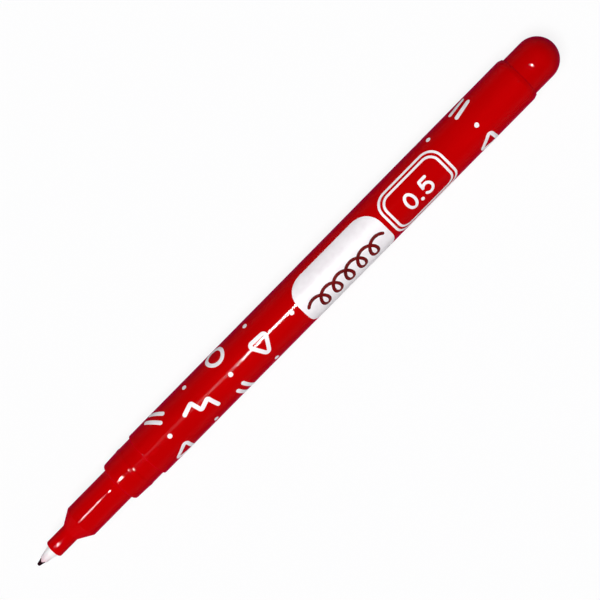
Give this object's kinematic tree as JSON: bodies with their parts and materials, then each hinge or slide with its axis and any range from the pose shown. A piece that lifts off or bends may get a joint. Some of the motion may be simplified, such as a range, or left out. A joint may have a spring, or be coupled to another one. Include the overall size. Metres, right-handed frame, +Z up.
{
  "type": "fineliner pen",
  "caption": "Slim round fineliner pen, uncapped, with a stepped nose, conical nib guard, fibre point, ink reservoir and push-in domed end plug.",
  "frame": {"origin": "under the middle of the pen's length, on the surface the pen lies on", "axes": "+X along the pen from the writing point to the domed end, +Z up from the surface it lies on"},
  "size_m": [0.1296, 0.0092, 0.0092],
  "materials": {
    "barrel_plastic": "moulded polypropylene, glossy red with white print",
    "nose_plastic": "moulded polypropylene, polished red",
    "guard_plastic": "moulded acetal, milky white",
    "nib_fibre": "bonded fibre, wet with dark red ink",
    "ink_fibre": "polyester fibre bundle soaked with red ink",
    "film_plastic": "clear polypropylene film",
    "tube_plastic": "extruded natural polyethylene",
    "plug_plastic": "moulded polypropylene, satin gloss red"
  },
  "bodies": {
    "barrel": {"barrel": "barrel_plastic", "reservoir_core": "ink_fibre", "reservoir_film": "film_plastic", "breather_tube": "tube_plastic"},
    "nose": {"nose_section": "nose_plastic", "nib_guard": "guard_plastic", "nib": "nib_fibre"},
    "plug": {"end_plug": "plug_plastic"}
  },
  "joints": [
    {"name": "nose_pull", "type": "slide", "parent": "barrel", "child": "nose", "axis": [-1, 0, 0], "range_m": [0, 0.022]},
    {"name": "end_plug_pull", "type": "slide", "parent": "barrel", "child": "plug", "axis": [1, 0, 0], "range_m": [0, 0.012]}
  ]
}
